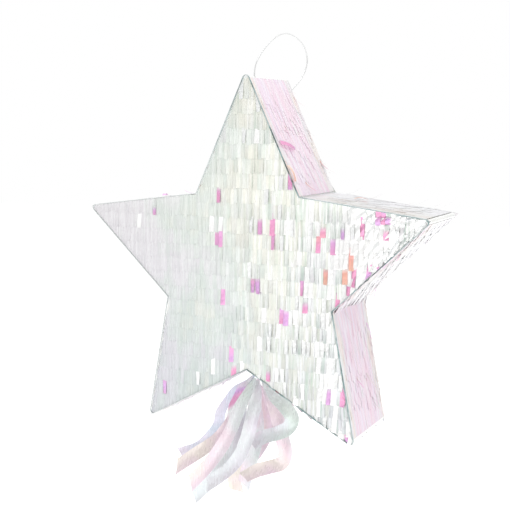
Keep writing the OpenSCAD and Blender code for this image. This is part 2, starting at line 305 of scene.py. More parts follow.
class Nodes:
    """A new material, or a new world, and short ways to add its nodes."""

    def __init__(self, name, kind="materials", shader="Principled BSDF"):
        self.owner = getattr(bpy.data, kind).new(name)
        self.owner.use_nodes = True
        self.tree = self.owner.node_tree
        self.shader = self.tree.nodes[shader]

    def add(self, kind, **settings):
        node = self.tree.nodes.new("ShaderNode" + kind)
        for key, value in settings.items():
            if hasattr(node, key):
                setattr(node, key, value)
            else:
                node.inputs[key.replace("_", " ").title()].default_value = value
        return node

    def link(self, source, target):
        self.tree.links.new(source, target)

    def place(self, scale=(1, 1, 1)):
        """Object coordinates, stretched by the scale."""
        where, mapping = self.add("TexCoord"), self.add("Mapping")
        mapping.inputs["Scale"].default_value = scale
        self.link(where.outputs["Object"], mapping.inputs["Vector"])
        return mapping.outputs["Vector"]

    def noise(self, scale, stretch=(1, 1, 1), detail=2.0):
        node = self.add("TexNoise", scale=scale, detail=detail)
        self.link(self.place(stretch), node.inputs["Vector"])
        return node.outputs["Fac"]

    def attribute(self, name):
        return self.add("Attribute", attribute_name=name).outputs["Fac"]

    def maths(self, operation, a, b=0.0, c=0.0):
        node = self.add("Math", operation=operation)
        for socket, value in zip(node.inputs, (a, b, c)):
            if isinstance(value, (int, float)):
                socket.default_value = value
            else:
                self.link(value, socket)
        return node.outputs[0]

    def linear(self, value, slope, offset):
        return self.maths("MULTIPLY_ADD", value, slope, offset)

    def along(self, axis, slope, offset):
        """A linear change along one axis of the object."""
        place = self.add("SeparateXYZ")
        self.link(self.place(), place.inputs[0])
        return self.linear(place.outputs[axis], slope, offset)

    def ramp(self, factor, stops):
        node = self.add("ValToRGB")
        points = node.color_ramp.elements
        while len(points) < len(stops):
            points.new(0.5)
        for point, (position, shade) in zip(points, stops):
            point.position = position
            point.color = (*shade, 1)
        self.link(factor, node.inputs["Fac"])
        return node.outputs["Color"]

    def mix(self, factor, a, b, blend="MIX"):
        node = self.add("Mix", data_type="RGBA", blend_type=blend)
        for socket, value in zip((node.inputs[0], node.inputs[6], node.inputs[7]), (factor, a, b)):
            if isinstance(value, (int, float)):
                socket.default_value = value
            elif isinstance(value, (tuple, list)):
                socket.default_value = (*value, 1)
            else:
                self.link(value, socket)
        return node.outputs[2]

    def bump(self, height, distance, strength):
        node = self.add("Bump", distance=distance, strength=strength)
        self.link(height, node.inputs["Height"])
        self.link(node.outputs["Normal"], self.shader.inputs["Normal"])

    def set(self, **values):
        for key, value in values.items():
            socket = self.shader.inputs[key.replace("_", " ")]
            if hasattr(value, "is_output"):
                self.link(value, socket)
            else:
                socket.default_value = value
        return self.owner


BLACK, WHITE = (0, 0, 0), (1, 1, 1)
FRONT_SHADES = ("lavender", "lavender", "mint", "cream", "mint", "lavender", "mint")
WALL_SHADES = ("rose", "pink", "lilac", "pink", "lavender", "peach", "cream", "white", "white")
RIBBON_SHADES = ("blue", "lilac", "lavender", "grey", "mint", "lavender", "pink", "peach")
FLASHES = ("honey", "coral", "magenta", "magenta", "violet", "magenta", "violet", "magenta")
# The flash of one ribbon, from lilac through magenta to white, whose white end is a painted highlight.
RIBBON_FLASHES = ("lilac", "violet", "magenta", "magenta", "white", "white")
# Painted shade: the films darken towards these shades towards the bottom of the star.
FRONT_PAINTED_SHADE = (0.76, 0.77, 0.81)
WALL_PAINTED_SHADE = (0.88, 0.87, 0.88)


def shade_of(name, factor=1.0):
    """One of the colours that a user can change, made darker or lighter by the factor."""
    return tuple(min(1, c * factor) for c in getattr(prop("colours"), name))


def shades(names):
    """Named colours, evenly spread over a ramp."""
    return [(i / (len(names) - 1), shade_of(name)) for i, name in enumerate(names)]


def iridescent_film(name, ramp_shades, streak_axis, painted_low_shade, streak="shadow", blend="MULTIPLY", rough=0.14):
    """Pearly film with fine streaks: dark ones, which are painted shade on the front and a rose colour on the walls,
    and white ones, which are painted highlights. Each strip has its place on a ramp of pale shades, some strips flash
    a colour, and strips with the most painted glare are painted white as highlights.

    The last argument is a painted shade that darkens the film towards the bottom of the star.
    """
    n = Nodes(name)
    # Painted glare: it sets how strong the painted shade streaks and painted highlight streaks are, and above 1.5 it
    # paints the strip white as a highlight.
    glare = n.attribute("glare")
    drift = n.maths("SUBTRACT", n.noise(26, detail=3), 0.5)
    pale = n.ramp(n.linear(drift, 0.55, n.attribute("tone")), shades(ramp_shades))
    streaks = n.noise(1, stretch=streak_axis, detail=3)
    # dark streaks: painted shade towards the grey mint on the front, a rose colour on the walls; light streaks:
    # painted highlights in white.
    dark = n.maths("MULTIPLY", n.ramp(streaks, [(0.30, WHITE), (0.45, BLACK)]), n.linear(glare, 0.75, 0.22))
    light = n.maths("MULTIPLY", n.ramp(streaks, [(0.48, BLACK), (0.62, WHITE)]), n.linear(glare, 0.85, 0.25))
    shade = n.mix(dark, pale, shade_of(streak), blend)
    shade = n.mix(n.maths("MINIMUM", light, 1.0), shade, shade_of("white"))
    # Painted shade, darker towards the bottom of the star.
    shade = n.mix(n.ramp(n.along("Z", -5.5, -0.75), [(0, BLACK), (1, WHITE)]), shade, painted_low_shade, "MULTIPLY")
    shade = n.mix(n.maths("GREATER_THAN", glare, 1.5), shade, shade_of("white"))
    shade = n.mix(n.attribute("bright"), shade, n.ramp(n.attribute("flash"), shades(FLASHES)))
    n.bump(n.noise(160, detail=3), 0.6 * MM, 0.35)
    return n.set(Base_Color=shade, Metallic=0.22, Roughness=n.linear(streaks, 0.25, rough), IOR=1.5,
                 Coat_Weight=0.3, Coat_Roughness=0.08, Thin_Film_Thickness=420.0, Thin_Film_IOR=1.4)


def base_film():
    n = Nodes("pearl base film")
    wrinkles = n.noise(70, detail=4)
    shade = n.ramp(n.noise(14), shades(("lavender", "mint", "cream", "pink")))
    n.bump(wrinkles, 0.8 * MM, 0.5)
    return n.set(Base_Color=n.mix(n.linear(wrinkles, 0.5, 0.3), shade, shade_of("white")), Metallic=0.15,
                 Roughness=n.linear(wrinkles, 0.3, 0.15), Coat_Weight=0.3, Coat_Roughness=0.1)


def dark_edge_film():
    """Grey-teal film edge, paler towards the left, with a few near-black and wine-red stretches."""
    n = Nodes("dark film edge")
    edge, ink = shade_of("edge"), shade_of("edge", 0.25)
    pale = tuple(0.5 * c + 0.36 for c in edge)
    wine = (edge[0] * 1.4, edge[1] * 0.25, edge[2] * 0.35)
    spots = n.noise(42, detail=4)
    shade = n.ramp(spots, [(0.28, wine), (0.33, edge), (0.47, pale), (0.57, edge), (0.66, ink), (0.74, pale)])
    left = n.ramp(n.along("X", 8.0, 0.6), [(0.15, WHITE), (0.75, BLACK)])
    shade = n.mix(n.maths("MULTIPLY", left, 0.93), shade, (0.70, 0.73, 0.72))
    return n.set(Base_Color=shade, Metallic=0.2, Roughness=n.linear(spots, 0.3, 0.15), Coat_Weight=0.3)


def brown_card():
    n = Nodes("brown card")
    fibre = n.noise(900, stretch=(1, 1, 0.25), detail=3)
    cloud = n.noise(40, detail=4)
    shade = n.mix(n.maths("MULTIPLY", cloud, 0.7), shade_of("card"), shade_of("card", 0.78))
    shade = n.mix(n.maths("MULTIPLY", fibre, 0.35), shade, shade_of("card", 1.35))
    n.bump(fibre, 0.3 * MM, 0.5)
    return n.set(Base_Color=shade, Roughness=n.linear(cloud, 0.15, 0.8))


def plain(name, scale, first, second, slope, rough, bump=None, detail=2.0, **settings):
    """A finish whose shade and roughness follow one noise. bump is its height and its strength."""
    n = Nodes(name)
    grain = n.noise(scale, detail=detail)
    if bump:
        n.bump(grain, *bump)
    return n.set(Base_Color=n.mix(grain, first, second), Roughness=n.linear(grain, slope, rough), **settings)


def paper_tape():
    return plain("gummed paper tape", 600, shade_of("tape"), shade_of("tape", 1.4), 0.2, 0.55, (0.2 * MM, 0.4), 3)


def clear_film(name, tint):
    return plain(name, 220, tint, shade_of("white"), 0.15, 0.08, (0.3 * MM, 0.3), Coat_Weight=0.6,
                 Coat_Roughness=0.05)


def clear_nylon():
    return plain("clear nylon", 400, (0.62, 0.63, 0.63), (0.74, 0.74, 0.74), 0.1, 0.15, Coat_Weight=0.5,
                 Coat_Roughness=0.06)


def ribbon_film():
    """Wide film whose shade changes along each ribbon, with fine creases along it and, on one ribbon, a flash of
    colour that ends in a painted white highlight.
    """
    n = Nodes("iridescent ribbon")
    drift = n.maths("SUBTRACT", n.noise(30, detail=3), 0.5)
    pale = n.ramp(n.linear(drift, 0.5, n.attribute("tone")), shades(RIBBON_SHADES))
    pale = n.mix(n.attribute("bright"), pale, n.ramp(n.attribute("flash"), shades(RIBBON_FLASHES)))
    pale = n.mix(1.0, pale, (0.92, 0.95, 0.95), "MULTIPLY")
    crease = n.noise(260, stretch=(1, 1, 0.2))
    n.bump(crease, 0.5 * MM, 0.4)
    return n.set(Base_Color=pale, Metallic=0.15, Roughness=n.linear(crease, 0.25, 0.15), Coat_Weight=0.35,
                 Coat_Roughness=0.08, Thin_Film_Thickness=380.0, Thin_Film_IOR=1.4)


# ---------------------------------------------------------------- fringe

STEPS = 4  # faces along a strip
HANGING_REACH = 13 * MM  # length of a strip on a wall that faces down
STREAK_COUNT = 60  # darker and lighter runs of strips across a wall
PAINTED_WHITE_GLARE = 2.0  # a strip with this much painted glare is painted all white, as a highlight

# Stretches across the face, to the right of its middle, over which its fringe grows busier and brighter, with more
# chips, more strips painted white as highlights and more painted glare.
BUSIER, BUSIEST = (-60 * MM, 40 * MM), (30 * MM, 130 * MM)
BRIGHTER, BRIGHTEST = (-40 * MM, 50 * MM), (40 * MM, 100 * MM)
MORE_CHIPS = (60 * MM, 100 * MM)
MORE_PAINTED_GLARE = (-60 * MM, 110 * MM)
MORE_MIXED = (-20 * MM, 60 * MM)
CRUMPLED = (88 * MM, 125 * MM)
NO_WARM_CHIPS = 60 * MM  # to the left of this, chips are magenta or violet only


class Strip:
    """What makes one strip differ from its neighbours."""

    def __init__(self, dice, chip_share=0.0, painted_highlight_share=0.0, loose=0.5):
        self.length = dice.uniform(0.88, 1.06)
        self.sway = dice.uniform(-0.5, 0.5) * loose * MM
        self.lift = dice.uniform(0.0, 0.7) * loose * MM
        self.twist = dice.uniform(-0.5, 0.5) * loose * MM
        self.tone = dice.uniform(-0.12, 0.12)
        self.dice = dice.random()
        self.flash = self.white = 0.0
        chance = dice.random()
        if chance < chip_share:
            self.flash = dice.uniform(0.05, 0.95)
            self.hue_drift = dice.uniform(-0.25, 0.25)
            self.flash_from = dice.choice((-1, -1, 0.3, 0.6))
        # A white chip is a painted highlight: its painted glare paints the whole strip white.
        elif chance < chip_share + painted_highlight_share:
            self.white = PAINTED_WHITE_GLARE
        if self.flash or self.white:
            self.sway *= 2
            self.twist = dice.choice((-1, 1)) * dice.uniform(0.5, 1.3) * MM
            self.lift += dice.uniform(0.2, 1.0) * MM


def strip_row(name, strips, place):
    """One row of loose strips. place(index, side, along) gives a corner, its tone and its painted glare.

    side is 0 or 1, and along goes from 0 at the fixed end to 1.
    """
    deselect()
    columns = len(strips)
    bpy.ops.mesh.primitive_grid_add(x_subdivisions=columns, y_subdivisions=STEPS, size=1)
    row = name_piece(name)
    split_edges(row, lambda a, b: abs(a.x - b.x) < 1e-6 and abs(a.x) < 0.499)
    mesh = row.data
    spots = {}
    for face in mesh.polygons:
        index = int((face.center.x + 0.5) * columns)
        for v in face.vertices:
            co = mesh.vertices[v].co
            spots[v] = (index, int(co.x > face.center.x), 0.5 - co.y)
    tones, painted_glares, flashes, brights = ([0.0] * len(spots) for _ in range(4))
    for v, (index, side, along) in spots.items():
        strip = strips[index]
        mesh.vertices[v].co, tones[v], painted_glares[v] = place(index, side, along)
        if strip.white:
            painted_glares[v] = strip.white
        if strip.flash:
            flashes[v] = min(1, max(0, strip.flash + strip.hue_drift * along))
            brights[v] = float(along > strip.flash_from)
    set_attributes(mesh, tone=tones, glare=painted_glares, flash=flashes, bright=brights)
    return row


def ease(value, low, high):
    """0 below low, 1 above high, smooth between."""
    t = min(1, max(0, (value - low) / (high - low)))
    return t * t * (3 - 2 * t)


def cuts(start, end, width, dice):
    """Places that cut a stretch into strips of about one width."""
    count = max(1, round((end - start) / width))
    found = [start + (end - start) * k / count for k in range(count + 1)]
    for k in range(1, count):
        found[k] += dice.uniform(-0.12, 0.12) * width
    return found


def spans(outline, high, low):
    """Stretches of x that a row of the face covers, between two heights."""
    step, found, start = 0.25 * MM, [], None
    for i in range(int(2 * outline.tip / step) + 1):
        x = i * step - outline.tip
        inside = min(high, outline.top(x, low)) - max(low, outline.bottom(x, low)) > 0.8 * MM
        if inside and start is None:
            start = x
        if not inside and start is not None:
            found.append((start, x - step))
            start = None
    return found


def face_row(name, index, rows, facing, dice, holes=(), window=None):
    """One row of fringe on the front (facing -1) or the back (facing 1).

    It leaves each hole (x0, x1, z0, z1) bare, or covers only the window. Both are measured from the middle.
    """
    fringe, outline, centre = prop("fringe"), Outline(FACE_INSET), middle()
    face_low, face_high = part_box("front_fringe_%02d" % rows)[0].z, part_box("front_fringe_01")[1].z
    pitch = (face_high - face_low) / rows
    high = face_high - centre.z - index * pitch
    low = high - pitch
    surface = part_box("front_panel")[0].y if facing < 0 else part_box("back_panel")[1].y
    arm = ease(high, -10 * MM, 12 * MM) * ease(-low, -62 * MM, -50 * MM)  # 1 in the rows of the side points
    edges, strips = [], []
    stretches = spans(outline, high, low)
    if window:
        stretches = [window[:2]] if min(high, window[3]) - max(low, window[2]) > 2 * MM else []
    for start, end in stretches:
        marks = cuts(start, end, fringe.strip, dice)
        for x0, x1 in zip(marks, marks[1:]):
            x, limits = (x0 + x1) / 2, [high, low - fringe.overhang]
            if window:
                limits = [min(high, window[3]), max(limits[1], window[2])]
            for hole in holes:
                if hole[0] < x < hole[1] and limits[1] < hole[3] and limits[0] > hole[2]:
                    if limits[0] > hole[3] + 3 * MM:
                        limits[1] = hole[3]
                    elif low < hole[2] - 3 * MM:
                        limits[0] = hole[2]
                    else:
                        limits = None
                        break
            if limits:
                turned = -facing * x
                busy = 0.12 + 0.5 * ease(turned, *BUSIER) + 0.38 * ease(turned, *BUSIEST)
                # How many strips are painted white as highlights: more towards the right, where the front mirrors the
                # key light.
                bright = 0.1 + 0.35 * ease(turned, *BRIGHTER) + 0.55 * ease(turned, *BRIGHTEST)
                chips = fringe.chip_share * busy * (1.0 + 1.4 * arm * ease(turned, *MORE_CHIPS))
                edges.append((x0 + fringe.gap / 2, x1 - fringe.gap / 2, *limits))
                strip = Strip(dice, chips, fringe.painted_highlight_share * busy * bright, busy)
                if strip.flash and turned < NO_WARM_CHIPS:
                    strip.flash = 0.35 + 0.65 * strip.flash
                strips.append(strip)
    if not strips:
        return None

    def place(k, side, along):
        strip, x = strips[k], edges[k][side]
        start, reach = edges[k][2:]
        top = min(start, outline.top(x, low))
        reach = max(reach + fringe.overhang * (1 - strip.length) * 2, outline.bottom(x, low))
        z = top + (reach - top) * along
        turned = -facing * x
        crumple = ease(turned, *CRUMPLED)
        lift = 0.5 * MM + (0.4 * MM + strip.lift) * along ** 1.6 + strip.twist * along * (side - 0.5) * 2
        lift += crumple * 1.3 * MM * math.sin(strip.dice * 40 + along * 9 + side * 2)
        x += strip.sway * along ** 2 * min(1, abs(z - outline.top(x, low)) / (8 * MM))
        drift = (turned / (2 * outline.tip) + 0.5) * 0.85
        # Painted glare, growing towards the right, where the front mirrors the key light.
        glare = ease(turned, *MORE_PAINTED_GLARE) * (0.75 + 0.5 * strip.dice)
        tone = drift + strip.tone * (0.45 + 0.55 * ease(turned, *MORE_MIXED))
        return Vector((x, surface + facing * max(lift, 0.45 * MM), z + centre.z)), tone, glare

    return strip_row(name, strips, place)


class Wall:
    """One flat wall of the star: down runs along it from its upper end, out is its outward normal."""

    def __init__(self, point, side):
        outline = Outline(WALL_INSET)
        at = 90 - 72 * point
        notch, tip = (Vector((x, 0, z)) for x, z in (polar(outline.notch, at + 36 * side), polar(outline.tip, at)))
        direction = (tip - notch).normalized()
        tip -= direction * outline.round / math.tan(outline.half_tip)
        self.start, end = (notch, tip) if tip.z < notch.z else (tip, notch)
        self.down = (end - self.start).normalized()
        out = Vector((self.down.z, 0, -self.down.x))
        self.out = out if out.dot(notch + tip) > 0 else -out
        self.length = (end - self.start).length
        self.hangs = self.out.z < -0.1
        self.faces_up = self.out.z > 0.8


def in_frame(centre, spot, y):
    """The place in the frame of a spot on a wall, at depth y, both measured from the star's middle."""
    return Vector((spot.x, y + centre.y, spot.z + centre.z))


def wall_tone(wall, back):
    """Place on the ramp of wall shades. back goes from 0 at the front edge to 1 at the back. The walls that face up
    and the walls that face down take the palest shades, which is painted light: the lit tops, and white painted over
    the shade underneath.
    """
    if wall.hangs:
        return 0.92 - 0.45 * ease(1 - back, 0.70, 1.0)
    if wall.faces_up:
        return 0.76 + 0.22 * back
    return 0.70 - 0.40 * ease(back, 0.0, 0.22) + 0.34 * ease(back, 0.78, 1.0)


def wall_rows(name, wall, dice, depth, patch=None, door=False):
    """Rows of strips down one wall. patch is (s0, s1, y0, y1) measured from the wall's upper end.

    The fringe leaves the patch bare, or with door covers only the patch.
    """
    fringe, centre = prop("fringe"), middle()
    first, last, y_low, y_high = patch if door else (0, wall.length, -depth / 2, depth / 2)
    pitch = fringe.wall_row * (0.55 if wall.hangs else 1.0)
    count = max(1, round((last - first) / pitch))
    pitch = (last - first) / count
    reach = HANGING_REACH if wall.hangs else fringe.wall_reach
    loose = 1.0 if wall.hangs else 0.1 if wall.faces_up else 0.3
    streaks = [dice.uniform(-0.13, 0.13) for _ in range(STREAK_COUNT)]
    made = []
    for r in range(count):
        s0 = first + r * pitch
        marks = cuts(y_low, y_high, fringe.wall_strip, dice)
        edges, strips = [], []
        for k, (y0, y1) in enumerate(zip(marks, marks[1:])):
            limit = last + (0 if door else 1.5 * MM if wall.hangs else -1 * MM)
            if patch and not door and patch[2] < (y0 + y1) / 2 < patch[3]:
                if s0 < patch[0] - 2 * MM:
                    limit = patch[0]
                elif s0 < patch[1]:
                    continue
            edges.append((y0, y1, min(s0 + reach, limit), streaks[k % STREAK_COUNT]))
            strips.append(Strip(dice, fringe.chip_share * 0.03, loose=loose))
        if not strips:
            continue

        def place(k, side, along, s0=s0, edges=edges, strips=strips, below=count - 1 - r):
            strip, y = strips[k], edges[k][side]
            free = edges[k][2] - s0
            if wall.hangs:
                angle = math.radians((6 + 6 * strip.dice) if door else (6 + 13 * strip.dice ** 3))
                free *= strip.length * (0.82 + 0.28 * strip.dice)
                spot = wall.down * (s0 + free * along * math.cos(angle))
                spot += wall.out * (0.4 * MM + free * along * math.sin(angle))
            else:
                lift = 0.35 * MM + 0.6 * strip.lift
                if edges[k][2] > last - 2 * MM:
                    lift = (0.1 + 0.25 * below) * MM
                else:
                    free *= 0.55 + 0.5 * strip.dice
                spot = wall.down * (s0 + free * along)
                spot += wall.out * (0.35 * MM + lift * along ** 1.6)
            y += strip.sway * (2 if wall.hangs else 1) * along ** 2
            y = min(max(y, y_low + 0.05 * MM), y_high - 0.05 * MM)
            back = (y + depth / 2) / depth
            spot += wall.start
            tone = wall_tone(wall, back) + edges[k][3] + strip.tone * 0.35
            # Painted glare of the wall strips: weaker on the walls that face up.
            return in_frame(centre, spot, y), tone, 0.1 if wall.faces_up else 0.35

        made.append(strip_row(name, strips, place))
    return made


def lone_strip(name, wall, depth, down, back, lean, run, hue):
    """One bright strip that lies across a wall. lean is its angle to the wall's run, back 0 at the front edge."""
    centre, strip = middle(), Strip(random.Random(int(hue * 100)))
    strip.flash, strip.hue_drift, strip.flash_from = hue, 0.1, -1
    lean = math.radians(lean)

    def place(k, side, along):
        s = down * wall.length + run * along * math.cos(lean) - (side - 0.5) * LONE_WIDTH * math.sin(lean)
        y = (back - 0.5) * depth + run * along * math.sin(lean) + (side - 0.5) * LONE_WIDTH * math.cos(lean)
        spot = wall.start + wall.down * s + wall.out * (2.2 * MM + 1.5 * MM * math.sin(along * math.pi))
        return in_frame(centre, spot, y), 0.5, 0.3

    return strip_row(name, [strip], place)


# Bright loose strips on the walls: the side of the point, how far down the wall, how far back, angle, length, hue.
LONE_WIDTH = 3.6 * MM
LONE_STRIPS = {
    "top": [(-1, 0.55, 0.06, 74, 24 * MM, 0.38), (-1, 0.74, 0.01, 4, 15 * MM, 0.02),
            (1, 0.93, 0.03, 40, 14 * MM, 0.03)],
    "right": [(1, 0.30, 0.55, 30, 12 * MM, 0.06)],
    "left": [(-1, 0.45, 0.30, 65, 16 * MM, 0.75)],
    "lower_right": [(-1, 0.35, 0.70, 20, 15 * MM, 0.45)],
}


def whiskers(name, wall, dice, depth):
    """Stray strips that curl away from a wall, most of them near its back edge."""
    fringe, centre = prop("fringe"), middle()
    strips = [Strip(dice, 0.12) for _ in range(fringe.whiskers)]
    roots = [(dice.uniform(0.04, 0.9) * wall.length,
              depth * (0.5 - dice.uniform(0, 0.08) if dice.random() < 0.75 else dice.uniform(-0.5, 0.4)))
             for _ in strips]

    def place(k, side, along):
        strip, (s0, y) = strips[k], roots[k]
        free = (8 + 8 * strip.dice) * MM
        rise = fringe.whisker * (0.3 + 0.7 * strip.dice) * along ** 1.7
        spot = wall.start + wall.down * (s0 + free * along) + wall.out * (0.8 * MM + rise)
        y += (side - 0.5) * (1.0 + 0.8 * strip.dice) * MM * (1 - 0.4 * along) + strip.sway * 6 * along ** 2
        y = min(max(y, -depth / 2), depth / 2)
        return in_frame(centre, spot, y), wall_tone(wall, 1), 0.5

    return strip_row(name, strips, place)


def door_patch():
    """The trap door's patch of its wall: how far down it starts and ends, and where across."""
    low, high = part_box("trap_door")
    card_low, card_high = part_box("front_panel")
    slope = math.radians(54) - Outline().half_tip
    half = (high.y - low.y) / 2
    near = -high.x / math.cos(slope)
    far = -low.x / math.cos(slope) - (card_high.y - card_low.y) * math.tan(slope)
    return near, far, -half, half


def face_rows():
    """Rows of fringe on the front, and as many on the back."""
    return sum(name.startswith("front_fringe_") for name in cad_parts)


def flap_window():
    """The fill flap's fringe, as (x0, x1, z0, z1) from the star's middle."""
    low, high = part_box("fill_flap_fringe")
    return low.x, high.x, low.z - middle().z, high.z - middle().z


# ---------------------------------------------------------------- routes of the loop and the ribbons, in metres

LOOP_ROUTE = [
    (-0.024, 0.1722), (-0.0238, 0.1765), (-0.0218, 0.182), (-0.0175, 0.1875), (-0.011, 0.193), (-0.003, 0.1986),
    (0.006, 0.2038), (0.016, 0.2084), (0.027, 0.212), (0.036, 0.2136), (0.042, 0.214), (0.049, 0.2137),
    (0.058, 0.2124), (0.067, 0.2102), (0.0755, 0.207), (0.082, 0.2026), (0.086, 0.197), (0.087, 0.191),
    (0.0845, 0.185), (0.0795, 0.1792), (0.0725, 0.1738), (0.064, 0.1688), (0.055, 0.1642), (0.0465, 0.1603),
    (0.0405, 0.1584), (0.0388, 0.158)]

# Each ribbon: its route from the middle of the gathered knot, and the way it faces at its start and its end.
RIBBON_ROUTES = [
    ([(-0.005, -0.003, -0.003), (-0.01, -0.005, -0.01), (-0.014, -0.007, -0.015), (-0.018, -0.01, -0.024),
      (-0.02, -0.013, -0.034), (-0.023, -0.015, -0.047), (-0.031, -0.017, -0.06), (-0.044, -0.019, -0.072),
      (-0.06, -0.02, -0.084), (-0.079, -0.02, -0.098)], (-1, -1, 0.4), (0.2, -1, 0.5)),
    ([(-0.006, 0.003, -0.004), (-0.014, 0.006, -0.012), (-0.028, 0.011, -0.023), (-0.04, 0.014, -0.035),
      (-0.049, 0.016, -0.049), (-0.054, 0.017, -0.063), (-0.064, 0.018, -0.078), (-0.079, 0.018, -0.091),
      (-0.098, 0.018, -0.1)], (-0.3, -1, 0.8), (0.1, -1, 0.6)),
    ([(-0.001, -0.005, -0.004), (-0.002, -0.01, -0.01), (-0.005, -0.017, -0.02), (-0.01, -0.022, -0.033),
      (-0.015, -0.027, -0.05), (-0.024, -0.031, -0.068), (-0.037, -0.033, -0.086),
      (-0.055, -0.034, -0.106)], (-0.3, -1, 0.5), (0.3, -1, 0.3)),
    ([(-0.004, -0.001, -0.006), (-0.01, -0.002, -0.014), (-0.014, -0.004, -0.027),
      (-0.015, -0.006, -0.042), (-0.02, -0.008, -0.059), (-0.028, -0.009, -0.078), (-0.039, -0.01, -0.098),
      (-0.052, -0.01, -0.115), (-0.066, -0.01, -0.129)], (-0.6, -1, 0), (0.3, -1, 0.2)),
    ([(-0.002, 0.005, -0.005), (-0.005, 0.011, -0.014), (-0.002, 0.016, -0.032), (0, 0.02, -0.05),
      (-0.004, 0.022, -0.069), (-0.015, 0.022, -0.087), (-0.028, 0.022, -0.102), (-0.038, 0.022, -0.115),
      (-0.036, 0.022, -0.129)], (-0.5, -1, 0.3), (0.5, -1, 0)),
    ([(-0.001, 0.001, -0.007), (-0.005, 0.005, -0.017), (-0.009, 0.009, -0.031), (-0.008, 0.012, -0.049),
      (-0.009, 0.013, -0.068), (-0.013, 0.013, -0.085), (-0.019, 0.013, -0.102), (-0.023, 0.013, -0.118)],
      (0.4, -1, 0.2), (0.2, -1, 0)),
    ([(0.005, -0.001, -0.004), (0.011, -0.003, -0.011), (0.021, -0.008, -0.018), (0.033, -0.012, -0.025),
      (0.04, -0.012, -0.035), (0.036, -0.012, -0.045), (0.024, -0.011, -0.052), (0.01, -0.009, -0.058),
      (-0.004, -0.008, -0.067)], (0.6, -1, 0.6), (0.4, -1, 0.6)),
    ([(0.003, 0.002, -0.006), (0.007, 0.003, -0.015), (0.014, 0.002, -0.027), (0.02, 0, -0.042),
      (0.025, -0.002, -0.057), (0.029, -0.003, -0.071), (0.026, -0.004, -0.082), (0.014, -0.004, -0.088),
      (0, -0.004, -0.094), (-0.014, -0.004, -0.103)], (0.8, -1, 0), (0.2, -1, 0.8)),
    ([(0.001, -0.004, -0.006), (0.003, -0.008, -0.014), (0.003, -0.013, -0.027), (0.001, -0.017, -0.042),
      (-0.002, -0.019, -0.057), (-0.008, -0.02, -0.073), (-0.018, -0.02, -0.087), (-0.031, -0.02, -0.099),
      (-0.045, -0.02, -0.11)], (0.2, -1, 0.2), (0.1, -1, 0.4))]

ROOT_WIDTH, WIDENING = 3.2 * MM, 0.75 * MM  # a ribbon's gathered width at its root, and its growth at each step
RIBBON_STEPS = 6  # faces along a ribbon between two points of its route
RIBBON_FACES = 6  # and across it
FLASHING_RIBBON = 1

# Where each ribbon starts and ends on the ramp of ribbon shades.
RIBBON_TONES = [(0.70, 0.98), (0.02, 0.10), (0.50, 0.90), (0.44, 0.34), (0.86, 1.0), (0.86, 0.74), (0.36, 0.78),
                (0.70, 0.98), (0.24, 0.34)]


def smooth(points, steps):
    """A curve through the points: the middle of each stretch follows its two neighbours."""
    points = [Vector(p) for p in points]
    ends = [2 * points[0] - points[1], *points, 2 * points[-1] - points[-2]]
    found = []
    for a, b, c, d in zip(ends, ends[1:], ends[2:], ends[3:]):
        for k in range(steps):
            t = k / steps
            found.append(0.5 * (2 * b + (c - a) * t + (2 * a - 5 * b + 4 * c - d) * t ** 2
                                + (3 * b - a - 3 * c + d) * t ** 3))
    return found + [points[-1]]


def ribbon(number, route, start_facing, end_facing, dice):
    """A flat film ribbon swept along its route, cupped across and gently rippled along its edges."""
    sizes = prop("ribbons")
    low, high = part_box("ribbon_gather")
    line = [(low + high) / 2 + p for p in smooth(route, RIBBON_STEPS)]
    last = len(line) - 1
    deselect()
    bpy.ops.mesh.primitive_grid_add(x_subdivisions=RIBBON_FACES, y_subdivisions=last, size=1)
    piece = name_piece("ribbon_film_%d" % number)
    ripple, phase, slant = dice.uniform(0.4, 0.9), dice.uniform(0, 6), dice.choice((-1, 1)) * dice.uniform(2, 5)
    tones, flashes, brights = [], [], []
    first_tone, last_tone = RIBBON_TONES[number - 1]
    for v in piece.data.vertices:
        i = round((v.co.y + 0.5) * last)
        side = v.co.x * 2
        ahead = (line[min(i + 1, last)] - line[max(i - 1, 0)]).normalized()
        facing = Vector(start_facing).lerp(Vector(end_facing), i / last)
        across = ahead.cross(facing).normalized()
        up = across.cross(ahead)
        width = min(sizes.width, ROOT_WIDTH + i * WIDENING)
        shape = sizes.cup * (side ** 2 - 0.4) + ripple * MM * side ** 3 * math.sin(i * 0.55 + phase)
        cut = slant * MM * side * max(0, i - last + 2) / 2
        v.co = line[i] + across * side * width / 2 + up * shape * min(1, i / 8) + ahead * cut
        tones.append(first_tone + (last_tone - first_tone) * i / last + 0.04 * side)
        flashes.append(min(1, max(0, (i - 9) / 18 - 0.2 * side)))
        brights.append(ease(i, 5, 9) * (1 - ease(i, 25, 30)) if number == FLASHING_RIBBON else 0)
    set_attributes(piece.data, tone=tones, flash=flashes, bright=brights)
    thicken(piece, sizes.film)
    choose(piece)
    bpy.ops.object.shade_smooth_by_angle(angle=math.radians(50))
    return piece


PLEATS = 9  # of the gathered film


